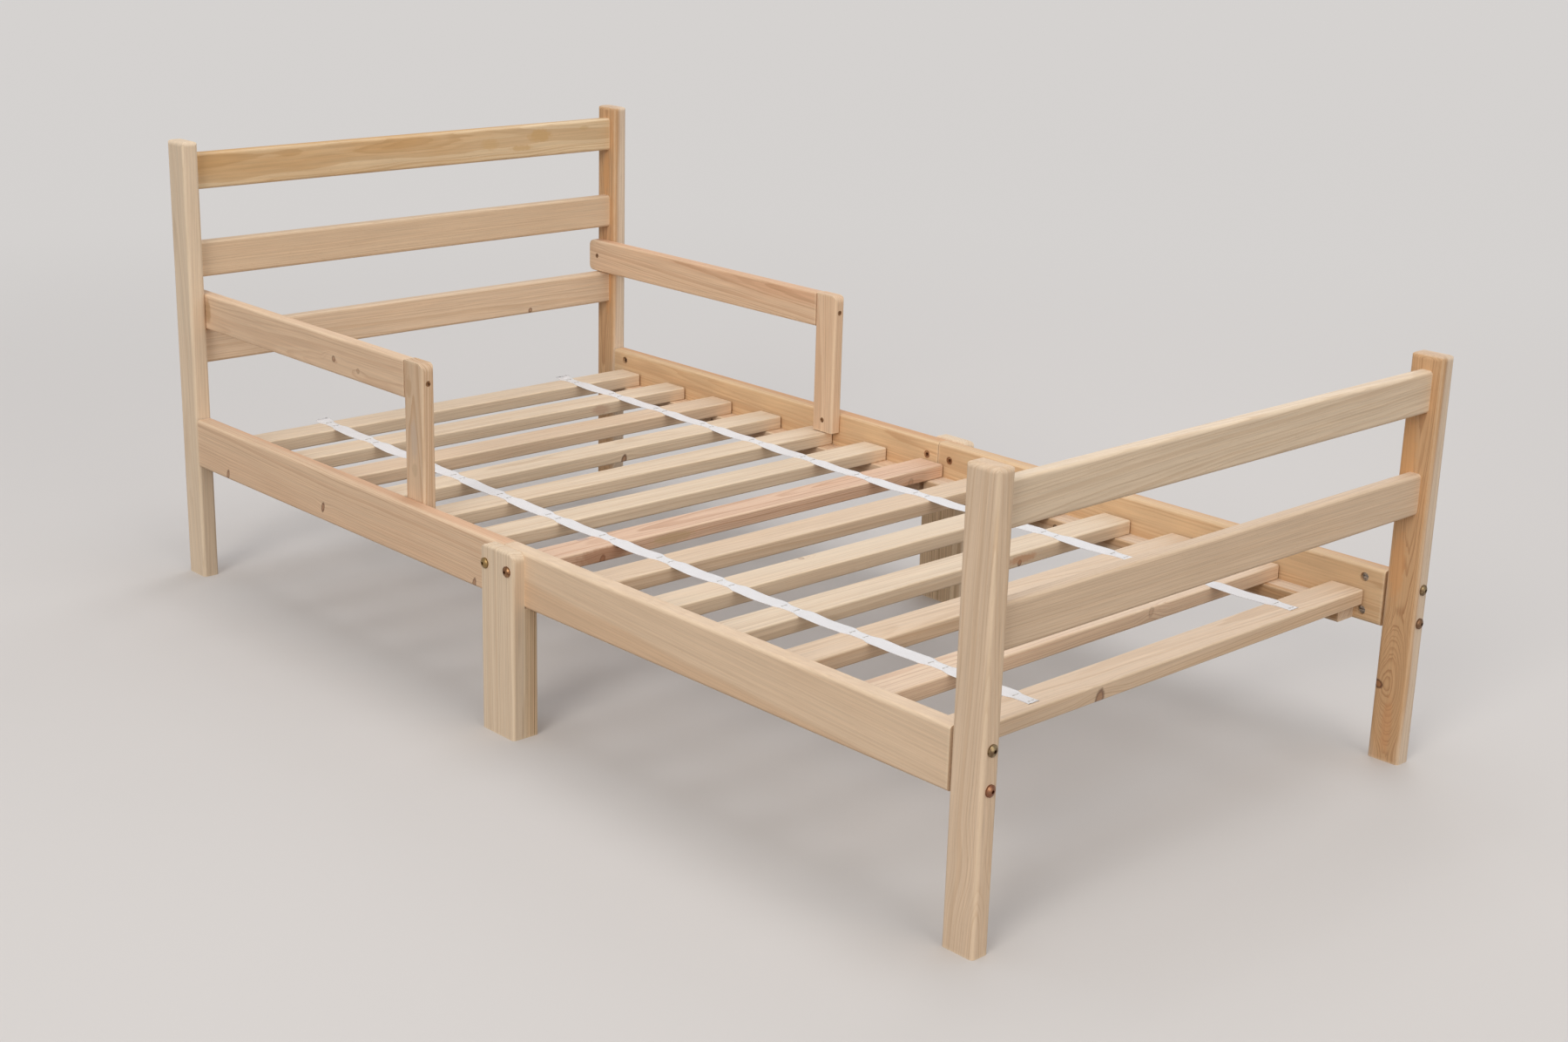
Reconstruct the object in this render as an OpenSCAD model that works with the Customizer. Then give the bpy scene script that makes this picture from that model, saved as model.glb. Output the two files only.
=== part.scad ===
// Child's bed of planed pine: head and foot frames, two side rails in two halves each,
// middle legs, ledgers that carry loose slats on two ribbons, and two short guards.
// Lengths are in millimetres. X runs across the bed, Y towards the head, Z up.
// The origin lies on the floor, under the middle of the bed.

/* [Bed] */
// Clear width between the side rails
inner_w = 804; // [700:1:1000]
// Clear length between the head rails and the foot rails
inner_l = 1630; // [1400:1:2000]

/* [Posts] */
// Thickness of a post, across the bed
post_t = 26; // [24:0.5:36]
// Width of a post, along the bed
post_w = 47; // [40:0.5:70]
// Height of the head posts
head_post_h = 687; // [640:1:900]
// Height of the foot posts
foot_post_h = 553; // [520:1:680]
// Rounding of a post's upright edges
post_edge_r = 5; // [1:0.5:8]
// Rounding of a post's top
post_top_r = 7; // [2:0.5:10]

/* [End rails] */
// Height of an end rail
end_rail_h = 55; // [45:1:80]
// Thickness of an end rail
end_rail_t = 20; // [16:0.5:26]
// Gap between one end rail and the next
end_rail_gap = 80; // [60:1:100]
// How far a post stands above its top rail
post_over = 20; // [10:1:40]
// Rounding of an end rail's long edges
end_rail_r = 5; // [1:0.5:7]

/* [Side rails] */
// Height of a side rail
rail_h = 76; // [70:1:110]
// Thickness of a side rail
rail_t = 26; // [24:0.5:32]
// Height of the side rails' lower edge above the floor
rail_z = 182; // [120:1:200]
// Rounding of a side rail's long edges
rail_r = 5; // [1:0.5:8]
// Gap between a side rail's end and its post
rail_gap = 2; // [0:0.5:4]
// Gap between the two halves of a side rail
seam_gap = 1; // [0.5:0.5:3]

/* [Ledgers] */
// Width of a ledger, across the bed
ledger_w = 35; // [20:1:50]
// Height of a ledger
ledger_h = 21.5; // [18:0.5:30]
// Height of a ledger's lower face above the side rail's lower edge
ledger_up = 2; // [0:1:5]
// Distance from a side rail's outer end to its ledger
ledger_end = 42; // [40:1:80]
// Distance from the middle of the bed to a ledger
ledger_mid = 5; // [1:1:40]

/* [Slats] */
// Width of a slat, along the bed
slat_w = 50; // [40:1:65]
// Thickness of a slat
slat_t = 21; // [15:0.5:24]
// Gap between a slat's end and the side rail
slat_side_gap = 4; // [1:0.5:8]
// Gap between the head rails and the first slat
slat_head_gap = 41; // [20:1:80]
// Gap between the foot rails and the last slat
slat_foot_gap = 43; // [20:1:80]
// How much wider the last two steps are than the others
slat_extra_step = 10; // [0:1:20]
// Rounding of a slat's long edges
slat_r = 2.5; // [1:0.5:5]

/* [Middle legs] */
// Width of a middle leg, along the bed
leg_w = 70; // [66:1:100]
// Thickness of the leg's outer board
leg_t = 20; // [16:0.5:30]
// Thickness of the leg's inner block, under the rail
leg_block_t = 20; // [16:0.5:24]
// How far the outer board stands above the side rail
leg_over = 2; // [0:0.5:10]
// Rounding of the outer board's top corners
leg_corner_r = 14; // [6:0.5:20]
// Rounding of the outer board's edges, away from the rail
leg_edge_r = 5; // [1:0.5:7]
// Rounding of the edges of the inner block and of the ledgers
block_r = 1.5; // [0.5:0.5:3]
// How far the left middle leg stands nearer the foot than the right one
leg_left_shift = 12; // [0:1:15]

/* [Guards] */
// Overall length of a guard
guard_l = 628; // [500:1:800]
// Height of the guard's horizontal board
guard_h = 55; // [40:1:78]
// Thickness of a guard's boards
guard_t = 20; // [16:0.5:26]
// Width of the guard's upright
guard_upright_w = 45; // [35:1:60]
// Gap between the bottom head rail and the guard's horizontal board
guard_gap = 1; // [0.5:0.5:2]
// Distance from a head post's outer face to the end of the guard
guard_end = 3; // [0:0.5:10]
// Gap between the slats and the foot of the guard's upright
guard_lift = 1.5; // [1:0.5:8]
// Distance from the side rail's top to the screw in the guard's upright
guard_screw_drop = 11; // [8:1:20]
// Rounding of a guard's edges
guard_r = 4; // [1:0.5:6]
// Rounding of a guard's outer corners
guard_corner_r = 11; // [5:0.5:14]

/* [Bolts and nuts] */
// Diameter of the bolts
bolt_d = 6; // [5:0.5:8]
// Diameter of a bolt's head
bolt_head_d = 14.5; // [12:0.5:16]
// Height of a bolt's head
bolt_head_h = 5; // [3.5:0.5:6]
// Height of the straight rim of a bolt's head
bolt_rim_h = 2; // [1:0.5:3]
// Width across the flats of a bolt's socket
socket_w = 4; // [3:0.5:5]
// Depth of a bolt's socket
socket_depth = 3; // [2:0.5:4]
// Upright distance between the two bolts of a post
bolt_step = 46; // [36:1:50]
// Diameter of a barrel nut
nut_d = 12; // [10:0.5:14]
// Length of a barrel nut
nut_l = 17; // [12:1:20]
// Width and depth of the slot in a barrel nut's end
nut_slot = 1.5; // [1:0.5:2]
// Distance from a side rail's outer end to its barrel nuts
nut_inset = 30; // [20:1:33]
// Distance between the two bolts of a middle leg
leg_bolt_step = 48; // [36:1:50]
// Distance from a side rail's top to the bolts of the middle leg
leg_bolt_drop = 24; // [18:1:26]
// Diameter of the sleeve nuts at the middle legs
sleeve_d = 12; // [9:0.5:14]
// Length of a sleeve nut
sleeve_l = 14; // [10:1:18]
// How far a sleeve nut lies below the side rail's inner face
sleeve_recess = 0.5; // [0.5:0.5:4]
// Clearance round a fastener in its hole
hole_fit = 0.2; // [0.1:0.05:0.4]

/* [Screws and dowels] */
// Diameter of the wood screws
screw_d = 4; // [3:0.5:5]
// Diameter of a screw's head
screw_head_d = 8; // [7:0.5:9]
// Length of the cross recess in a screw's head
recess_l = 4.5; // [3:0.5:5]
// Width of the cross recess
recess_w = 0.9; // [0.6:0.1:1.2]
// Depth of the cross recess
recess_depth = 1.6; // [1:0.2:1.8]
// How deep a guard's screws go into the post and into the side rail
guard_screw_bite = 16; // [10:1:20]
// How deep the screw at a guard's corner goes into the horizontal board
corner_screw_bite = 35; // [25:1:50]
// How deep a ledger's screws go into the side rail
ledger_screw_bite = 15; // [10:1:20]
// Distance from a ledger's end to its first screw
ledger_screw_end = 45; // [20:1:100]
// Diameter of the dowels that hold the end rails
dowel_d = 8; // [6:1:10]
// Length of a dowel
dowel_l = 36; // [24:1:40]
// Distance between the two dowels of an end rail
dowel_step = 28; // [18:1:32]

/* [Ribbons] */
// Width of a ribbon
ribbon_w = 25; // [18:0.5:30]
// Width to which its staples gather a ribbon on a slat
ribbon_pinch_w = 17; // [13:0.5:18]
// Thickness of a ribbon
ribbon_t = 0.8; // [0.5:0.1:1.5]
// How far a ribbon sags between two slats
ribbon_sag = 1; // [0:0.5:6]
// Distance of the left ribbon from the middle of the bed, at the head
ribbon_left_head = 214; // [100:1:300]
// Distance of the left ribbon from the middle of the bed, on the slat where it bends
ribbon_left_bend = 241; // [100:1:300]
// Distance of the left ribbon from the middle of the bed, at the foot
ribbon_left_foot = 245; // [100:1:300]
// Distance of the right ribbon from the middle of the bed, at the head
ribbon_right_head = 272; // [100:1:300]
// Distance of the right ribbon from the middle of the bed, on the slat where it bends
ribbon_right_bend = 250; // [100:1:300]
// Distance of the right ribbon from the middle of the bed, at the foot
ribbon_right_foot = 260; // [100:1:300]
// How far a ribbon stands out beyond the first slat
ribbon_overhang = 8; // [0:1:12]
// Distance from the end of a ribbon to the edge of the last slat
ribbon_tail = 12; // [5:1:15]
// Width of a staple
staple_w = 10; // [6:0.5:12]
// Thickness of a staple's wire
staple_wire = 0.7; // [0.5:0.1:1]
// Length of a staple's legs
staple_leg = 8; // [6:0.5:10]
// Distance from a slat's edge on the head side to the staple next to it
staple_inset = 10; // [7:0.5:15]
// Distance between the two staples of a slat
staple_step = 23; // [16:0.5:25]

/* [Hidden] */
$fn = 48;

LEFT = -1;
RIGHT = 1;
HEAD = 1;
FOOT = -1;
SIDES = [LEFT, RIGHT];
ENDS = [FOOT, HEAD];

slat_count = 13;
wide_steps = 2;
left_bend_slat = 6;
right_bend_slat = 7;
ledger_screw_count = 4;
socket_sides = 6;
head_rail_count = 3;
foot_rail_count = 2;

// How far a cutting shape runs past the face that it cuts
past = 1;
// Space left beyond the end of a fastener in a blind hole
blind_end = 2;
// Length of bolt that shows beyond its barrel nut
bolt_tail = 3;
// Length of thread that a middle leg's bolt leaves free in its sleeve nut
sleeve_free = 5;

bed_l = inner_l + post_w + end_rail_t;
half_l = bed_l / 2;
half_w = inner_w / 2;
post_x = half_w + post_t / 2;
post_y = half_l - post_w / 2;
bolt_x = half_w + rail_t / 2;
rail_top_z = rail_z + rail_h;
rail_mid_z = rail_z + rail_h / 2;
rail_end_y = half_l - post_w - rail_gap;
rail_half_l = rail_end_y - seam_gap / 2;
bolt_zs = [rail_mid_z - bolt_step / 2, rail_mid_z + bolt_step / 2];
nut_y = rail_end_y - nut_inset;
post_bolt_l = post_w + rail_gap + nut_inset + nut_d / 2 + bolt_tail;

ledger_x = half_w - ledger_w / 2;
ledger_mid_z = rail_z + ledger_up + ledger_h / 2;
ledger_l = rail_end_y - ledger_end - ledger_mid;
ledger_y = ledger_mid + ledger_l / 2;
ledger_screw_l = ledger_w + ledger_screw_bite;
ledger_screw_step = (ledger_l - 2 * ledger_screw_end) / (ledger_screw_count - 1);
ledger_screw_ys = [for (i = [0 : ledger_screw_count - 1])
    ledger_mid + ledger_screw_end + i * ledger_screw_step];

slat_l = inner_w - 2 * slat_side_gap;
slat_z = rail_z + ledger_up + ledger_h;
slat_top_z = slat_z + slat_t;
slat_step = (inner_l - slat_head_gap - slat_foot_gap - slat_w - wide_steps * slat_extra_step)
    / (slat_count - 1);
// Middle of slat i, counted from the head
function slat_y(i) = inner_l / 2 - slat_head_gap - slat_w / 2 - (i - 1) * slat_step
    - max(0, i - (slat_count - wide_steps)) * slat_extra_step;

leg_x = half_w + rail_t + leg_t / 2;
leg_face_x = half_w + rail_t + leg_t;
leg_block_x = half_w + rail_t - leg_block_t / 2;
leg_bolt_z = rail_top_z - leg_bolt_drop;
// Middle of a middle leg along the bed
function leg_y(side) = side == LEFT ? -leg_left_shift : 0;
function leg_bolt_ys(side) = [leg_y(side) - leg_bolt_step / 2, leg_y(side) + leg_bolt_step / 2];
leg_bolt_l = leg_t + rail_t - sleeve_recess - sleeve_free;

function end_rail_count(end) = end == HEAD ? head_rail_count : foot_rail_count;
function post_h(end) = end == HEAD ? head_post_h : foot_post_h;
end_rail_step = end_rail_h + end_rail_gap;
// Middle height of end rail i at one end of the bed, counted from the top
function end_rail_z(end, i) = post_h(end) - post_over - end_rail_h / 2 - i * end_rail_step;

guard_x = half_w - guard_t / 2;
guard_head_y = half_l - guard_end;
guard_foot_y = guard_head_y - guard_l;
guard_board_l = guard_l - guard_upright_w;
guard_screw_l = guard_t + guard_screw_bite;
corner_screw_l = guard_upright_w + corner_screw_bite;
guard_mid_z = end_rail_z(HEAD, head_rail_count - 1) + end_rail_h / 2 + guard_gap + guard_h / 2;
guard_top_z = guard_mid_z + guard_h / 2;
guard_bottom_z = slat_top_z + guard_lift;
guard_upright_y = guard_foot_y + guard_upright_w / 2;
guard_upright_h = guard_top_z - guard_bottom_z;
guard_rail_screw_z = rail_top_z - guard_screw_drop;

ribbon_start_y = slat_y(1) + slat_w / 2 + ribbon_overhang;
ribbon_end_y = slat_y(slat_count) - slat_w / 2 + ribbon_tail;

// Turns a shape drawn along +Z so that it points along +X or -X
module point_x(direction) {
    rotate([0, direction * 90, 0]) children();
}

// Turns a shape drawn along +Z so that it points along +Y or -Y
module point_y(direction) {
    rotate([-direction * 90, 0, 0]) children();
}

// Rectangle round the origin, with rounded corners
module round_rect(w, h, r) {
    square([w - 2 * r, h], center = true);
    square([w, h - 2 * r], center = true);
    for (sx = [-1, 1], sy = [-1, 1]) {
        translate([sx * (w / 2 - r), sy * (h / 2 - r)]) circle(r = r);
    }
}

// Rectangle standing on the origin, with its two top corners rounded
module round_top(w, h, r) {
    translate([-w / 2, 0]) square([w, h - r]);
    translate([-w / 2 + r, 0]) square([w - 2 * r, h]);
    for (s = [-1, 1]) {
        translate([s * (w / 2 - r), h - r]) circle(r = r);
    }
}

// Rectangle from the origin, with the corners of its far end rounded
module round_end(l, h, r) {
    square([l - r, h]);
    translate([0, r]) square([l, h - 2 * r]);
    translate([l - r, r]) circle(r = r);
    translate([l - r, h - r]) circle(r = r);
}

// Rectangle from the origin, with only its upper near corner rounded
module round_corner(w, h, r) {
    square([w, h - r]);
    translate([r, 0]) square([w - r, h]);
    translate([r, h - r]) circle(r = r);
}

// Board along Y with rounded long edges, round the origin
module board_y(t, h, l, r) {
    rotate([90, 0, 0]) linear_extrude(l, center = true) round_rect(t, h, r);
}

// Board along X with rounded long edges, round the origin
module board_x(t, h, l, r) {
    rotate([90, 0, 90]) linear_extrude(l, center = true) round_rect(t, h, r);
}

// Plan of one half of a middle leg, rounded on the side that faces away from the other half
module leg_plan(t, w, r, side) {
    round_rect(t, w, r);
    translate([-side * t / 4, 0]) square([t / 2, w], center = true);
}

// Upright timber on the floor with its plan given, rounded round its top
module upright(t, w, h, top_r, corner_r) {
    intersection() {
        linear_extrude(h) children();
        rotate([90, 0, 0]) linear_extrude(w + 2 * past, center = true) round_top(t, h, top_r);
        rotate([90, 0, 90]) linear_extrude(t + 2 * past, center = true) round_top(w, h, corner_r);
    }
}

// Hole along +Z for a fastener of diameter d that reaches depth l
module hole(d, l) {
    translate([0, 0, -past]) cylinder(d = d + 2 * hole_fit, h = l + past + blind_end);
}

// Domed bolt drawn along +Z, with its head below the origin and a six-sided socket
module bolt(l) {
    dome_h = bolt_head_h - bolt_rim_h;
    dome_r = (pow(bolt_head_d / 2, 2) + pow(dome_h, 2)) / (2 * dome_h);
    socket_d = socket_w / cos(180 / socket_sides);
    difference() {
        union() {
            rotate_extrude() intersection() {
                translate([0, dome_r - bolt_head_h]) circle(r = dome_r);
                translate([0, -bolt_head_h]) square([bolt_head_d / 2, bolt_head_h]);
            }
            cylinder(d = bolt_d, h = l);
        }
        translate([0, 0, -bolt_head_h - past])
            cylinder(d = socket_d, h = socket_depth + past, $fn = socket_sides);
    }
}

// Countersunk screw drawn along +Z, with its head's face at the origin and a cross recess
module screw(l) {
    head_h = (screw_head_d - screw_d) / 2;
    tip_h = screw_d;
    difference() {
        rotate_extrude() polygon([
            [0, 0], [screw_head_d / 2, 0], [screw_d / 2, head_h],
            [screw_d / 2, l - tip_h], [0, l]
        ]);
        for (turn = [0, 90]) {
            rotate([0, 0, turn]) translate([-recess_l / 2, -recess_w / 2, -past])
                cube([recess_l, recess_w, recess_depth + past]);
        }
    }
}

// Countersunk hole along +Z for a screw of length l
module screw_hole(l) {
    head_h = (screw_head_d - screw_d) / 2;
    hole(screw_d, l);
    cylinder(r1 = screw_head_d / 2 + hole_fit, r2 = screw_d / 2 + hole_fit, h = head_h);
    translate([0, 0, -past]) cylinder(r = screw_head_d / 2 + hole_fit, h = past);
}

// Places its children at the outer face of each post, at each bolt, pointing inwards
module at_post_bolts(side, end) {
    for (z = bolt_zs) {
        translate([side * bolt_x, end * half_l, z]) point_y(-end) children();
    }
}

// Places its children at each barrel nut's middle, pointing outwards
module at_barrel_nuts(side, end) {
    for (z = bolt_zs) {
        translate([side * bolt_x, end * nut_y, z]) point_x(side) children();
    }
}

// Places its children at each bolt of a middle leg, pointing inwards
module at_leg_bolts(side) {
    for (y = leg_bolt_ys(side)) {
        translate([side * leg_face_x, y, leg_bolt_z]) point_x(-side) children();
    }
}

// Places its children at each sleeve nut's inner end, pointing outwards
module at_sleeve_nuts(side) {
    for (y = leg_bolt_ys(side)) {
        translate([side * (half_w + sleeve_recess), y, leg_bolt_z]) point_x(side) children();
    }
}

// Places its children at a ledger's screws, pointing outwards
module at_ledger_screws(side, end) {
    for (y = ledger_screw_ys) {
        translate([side * (half_w - ledger_w), end * y, ledger_mid_z]) point_x(side) children();
    }
}

// Places its children where the guard's board meets the head post, pointing outwards
module at_guard_post_screw(side) {
    translate([side * (half_w - guard_t), post_y, guard_mid_z]) point_x(side) children();
}

// Places its children where the guard's upright meets the side rail, pointing outwards
module at_guard_rail_screw(side) {
    translate([side * (half_w - guard_t), guard_upright_y, guard_rail_screw_z]) point_x(side)
        children();
}

// Places its children at the guard's corner, pointing towards the head
module at_guard_corner_screw(side) {
    translate([side * guard_x, guard_foot_y, guard_mid_z]) point_y(HEAD) children();
}

// Dowels of one end rail at one post, half in the post and half in the rail
module end_rail_dowels(side, end, i, d, l) {
    for (s = [-1, 1]) {
        translate([side * half_w, end * post_y, end_rail_z(end, i) + s * dowel_step / 2])
            rotate([0, 90, 0]) cylinder(d = d, h = l, center = true);
    }
}

module dowel_holes(side, end) {
    for (i = [0 : end_rail_count(end) - 1]) {
        end_rail_dowels(side, end, i, dowel_d + 2 * hole_fit, dowel_l + blind_end);
    }
}

module post(side, end) {
    color("burlywood") difference() {
        translate([side * post_x, end * post_y, 0])
            upright(post_t, post_w, post_h(end), post_top_r, post_top_r)
                round_rect(post_t, post_w, post_edge_r);
        at_post_bolts(side, end) hole(bolt_d, post_w);
        dowel_holes(side, end);
        if (end == HEAD) at_guard_post_screw(side) screw_hole(guard_screw_l);
    }
}

module end_rail(end, i) {
    color("wheat") difference() {
        translate([0, end * post_y, end_rail_z(end, i)])
            board_x(end_rail_t, end_rail_h, inner_w, end_rail_r);
        for (side = SIDES) {
            end_rail_dowels(side, end, i, dowel_d + 2 * hole_fit, dowel_l + blind_end);
        }
    }
}

module side_rail(side, end) {
    color("burlywood") difference() {
        translate([side * bolt_x, end * (seam_gap + rail_half_l) / 2, rail_mid_z])
            board_y(rail_t, rail_h, rail_half_l, rail_r);
        at_post_bolts(side, end) hole(bolt_d, post_bolt_l);
        at_barrel_nuts(side, end) translate([0, 0, -rail_t / 2 - past])
            cylinder(d = nut_d + 2 * hole_fit, h = (rail_t + nut_l) / 2 + past + hole_fit);
        at_leg_bolts(side) hole(bolt_d, leg_t + rail_t);
        at_sleeve_nuts(side) translate([0, 0, -sleeve_recess - past])
            cylinder(d = sleeve_d + 2 * hole_fit, h = sleeve_recess + sleeve_l + past);
        at_ledger_screws(side, end) hole(screw_d, ledger_screw_l);
        if (end == HEAD) at_guard_rail_screw(side) hole(screw_d, guard_screw_l);
    }
}

module ledger(side, end) {
    color("tan") difference() {
        translate([side * ledger_x, end * ledger_y, ledger_mid_z])
            board_y(ledger_w, ledger_h, ledger_l, block_r);
        at_ledger_screws(side, end) screw_hole(ledger_screw_l);
    }
}

module mid_leg_board(side) {
    color("wheat") difference() {
        translate([side * leg_x, leg_y(side), 0])
            upright(leg_t, leg_w, rail_top_z + leg_over, leg_edge_r, leg_corner_r)
                leg_plan(leg_t, leg_w, leg_edge_r, side);
        at_leg_bolts(side) hole(bolt_d, leg_t);
    }
}

module mid_leg_block(side) {
    color("khaki") translate([side * leg_block_x, leg_y(side), 0])
        linear_extrude(rail_z) leg_plan(leg_block_t, leg_w, block_r, -side);
}

module guard_board(side) {
    color("burlywood") difference() {
        translate([side * guard_x, guard_head_y - guard_board_l, guard_top_z - guard_h])
            intersection() {
                translate([0, guard_board_l / 2, guard_h / 2])
                    board_y(guard_t, guard_h, guard_board_l, guard_r);
                rotate([90, 0, 90]) linear_extrude(guard_t + 2 * past, center = true)
                    round_end(guard_board_l, guard_h, guard_corner_r);
            }
        at_guard_post_screw(side) screw_hole(guard_screw_l);
        at_guard_corner_screw(side) hole(screw_d, corner_screw_l);
    }
}

module guard_upright(side) {
    color("tan") difference() {
        translate([side * guard_x, guard_upright_y, guard_bottom_z]) intersection() {
            linear_extrude(guard_upright_h) round_rect(guard_t, guard_upright_w, guard_r);
            translate([0, -guard_upright_w / 2, 0]) rotate([90, 0, 90])
                linear_extrude(guard_t + 2 * past, center = true)
                    round_corner(guard_upright_w, guard_upright_h, guard_corner_r);
        }
        at_guard_rail_screw(side) screw_hole(guard_screw_l);
        at_guard_corner_screw(side) screw_hole(corner_screw_l);
    }
}

module slat(i) {
    color("wheat") translate([0, slat_y(i), slat_z + slat_t / 2])
        board_x(slat_w, slat_t, slat_l, slat_r);
}

// Shares of the way from slat i to the next one at which a ribbon's shape is given
sag_steps = 8;
function gap_y(i, k) = let (
        from = slat_y(i) - slat_w / 2 + slat_r,
        to = slat_y(i + 1) + slat_w / 2 - slat_r
    ) from + (to - from) * k / sag_steps;

// Places along the bed, with how far a ribbon sags there and how far it spreads, from 0 to 1
ribbon_rows = concat(
    [[ribbon_start_y, 0, 0]],
    [for (i = [1 : slat_count - 1], k = [0 : sag_steps])
        [gap_y(i, k), (1 - cos(360 * k / sag_steps)) / 2, sin(180 * k / sag_steps)]],
    [[ribbon_end_y, 0, 0]]
);

// Places of a ribbon's middle line, from the head to the foot
function ribbon_line(side) = side == LEFT
    ? [[-ribbon_left_head, ribbon_start_y],
       [-ribbon_left_bend, slat_y(left_bend_slat)],
       [-ribbon_left_foot, ribbon_end_y]]
    : [[ribbon_right_head, ribbon_start_y],
       [ribbon_right_bend, slat_y(right_bend_slat)],
       [ribbon_right_foot, ribbon_end_y]];
function ribbon_slope(side, y) = let (line = ribbon_line(side), i = y > line[1][1] ? 0 : 1)
    (line[i][0] - line[i + 1][0]) / (line[i][1] - line[i + 1][1]);
function ribbon_x(side, y) = let (bend = ribbon_line(side)[1])
    bend[0] + ribbon_slope(side, y) * (y - bend[1]);
function ribbon_edge(side, row, s) = [
    ribbon_x(side, row[0]) + s * (ribbon_pinch_w + (ribbon_w - ribbon_pinch_w) * row[2]) / 2,
    row[0]
];

// Band that lies flat and narrow on the slats, and sags and spreads between them
module ribbon(side) {
    last = len(ribbon_rows) - 1;
    lower = [for (row = ribbon_rows) [row[0], slat_top_z - ribbon_sag * row[1]]];
    upper = [for (i = [last : -1 : 0]) lower[i] + [0, ribbon_t]];
    near = [for (row = ribbon_rows) ribbon_edge(side, row, -1)];
    far = [for (i = [last : -1 : 0]) ribbon_edge(side, ribbon_rows[i], 1)];
    color("white") intersection() {
        rotate([90, 0, 90]) linear_extrude(inner_w, center = true) polygon(concat(lower, upper));
        linear_extrude(slat_top_z + ribbon_t + past) polygon(concat(near, far));
    }
}

// Staple across a ribbon, with its crown on the ribbon and its legs in the slat
module staple() {
    translate([-staple_w / 2, -staple_wire / 2, 0]) cube([staple_w, staple_wire, staple_wire]);
    for (s = [-1, 1]) {
        translate([s * (staple_w - staple_wire) / 2 - staple_wire / 2, -staple_wire / 2, -staple_leg])
            cube([staple_wire, staple_wire, staple_leg + staple_wire]);
    }
}

module staples() {
    color("silver") for (side = SIDES, i = [1 : slat_count], step = [0, staple_step]) {
        y = slat_y(i) + slat_w / 2 - staple_inset - step;
        translate([ribbon_x(side, y), y, slat_top_z + ribbon_t])
            rotate([0, 0, -atan(ribbon_slope(side, y))]) staple();
    }
}

module rail_dowels() {
    color("peru") for (side = SIDES, end = ENDS) {
        for (i = [0 : end_rail_count(end) - 1]) {
            end_rail_dowels(side, end, i, dowel_d, dowel_l);
        }
    }
}

module post_bolts() {
    color("goldenrod") for (side = SIDES, end = ENDS) {
        at_post_bolts(side, end) bolt(post_bolt_l);
    }
}

// Cross nut with a bore for its bolt and a slot in its inner end
module barrel_nut() {
    difference() {
        cylinder(d = nut_d, h = nut_l, center = true);
        rotate([90, 0, 0]) cylinder(d = bolt_d + 2 * hole_fit, h = nut_d + 2 * past, center = true);
        translate([-nut_slot / 2, -nut_d / 2 - past, -nut_l / 2 - past])
            cube([nut_slot, nut_d + 2 * past, nut_slot + past]);
    }
}

module barrel_nuts() {
    color("silver") for (side = SIDES, end = ENDS) {
        at_barrel_nuts(side, end) barrel_nut();
    }
}

module leg_bolts() {
    color("goldenrod") for (side = SIDES) {
        at_leg_bolts(side) bolt(leg_bolt_l);
    }
}

module sleeve_nuts() {
    color("silver") for (side = SIDES) {
        at_sleeve_nuts(side) difference() {
            cylinder(d = sleeve_d, h = sleeve_l);
            translate([0, 0, -past]) cylinder(d = bolt_d + 2 * hole_fit, h = sleeve_l + 2 * past);
        }
    }
}

module guard_screws() {
    color("gray") for (side = SIDES) {
        at_guard_post_screw(side) screw(guard_screw_l);
        at_guard_rail_screw(side) screw(guard_screw_l);
        at_guard_corner_screw(side) screw(corner_screw_l);
    }
}

module ledger_screws() {
    color("gray") for (side = SIDES, end = ENDS) {
        at_ledger_screws(side, end) screw(ledger_screw_l);
    }
}

post(LEFT, HEAD);  // head_post_left
post(RIGHT, HEAD);  // head_post_right
post(LEFT, FOOT);  // foot_post_left
post(RIGHT, FOOT);  // foot_post_right
end_rail(HEAD, 0);  // head_rail_top
end_rail(HEAD, 1);  // head_rail_middle
end_rail(HEAD, 2);  // head_rail_bottom
end_rail(FOOT, 0);  // foot_rail_top
end_rail(FOOT, 1);  // foot_rail_bottom
side_rail(LEFT, HEAD);  // side_rail_left_head
side_rail(LEFT, FOOT);  // side_rail_left_foot
side_rail(RIGHT, HEAD);  // side_rail_right_head
side_rail(RIGHT, FOOT);  // side_rail_right_foot
ledger(LEFT, HEAD);  // ledger_left_head
ledger(LEFT, FOOT);  // ledger_left_foot
ledger(RIGHT, HEAD);  // ledger_right_head
ledger(RIGHT, FOOT);  // ledger_right_foot
mid_leg_board(LEFT);  // mid_leg_board_left
mid_leg_board(RIGHT);  // mid_leg_board_right
mid_leg_block(LEFT);  // mid_leg_block_left
mid_leg_block(RIGHT);  // mid_leg_block_right
guard_board(LEFT);  // guard_board_left
guard_board(RIGHT);  // guard_board_right
guard_upright(LEFT);  // guard_upright_left
guard_upright(RIGHT);  // guard_upright_right
slat(1);  // slat_01
slat(2);  // slat_02
slat(3);  // slat_03
slat(4);  // slat_04
slat(5);  // slat_05
slat(6);  // slat_06
slat(7);  // slat_07
slat(8);  // slat_08
slat(9);  // slat_09
slat(10);  // slat_10
slat(11);  // slat_11
slat(12);  // slat_12
slat(13);  // slat_13
ribbon(LEFT);  // ribbon_left
ribbon(RIGHT);  // ribbon_right
staples();
rail_dowels();
post_bolts();
barrel_nuts();
leg_bolts();
sleeve_nuts();
guard_screws();
ledger_screws();
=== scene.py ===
"""A child's bed in plain pine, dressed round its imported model.

Every length is in metres, in the model's own frame: X across the bed, Y towards its head, Z up.
Each board is cut from a log of its own: the grain is worked out from the distance to that log's
pith, so that rings, cathedrals and end grain agree on all six faces of a board.
"""
import math
import random

import bpy
from mathutils import Matrix, Vector


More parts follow.
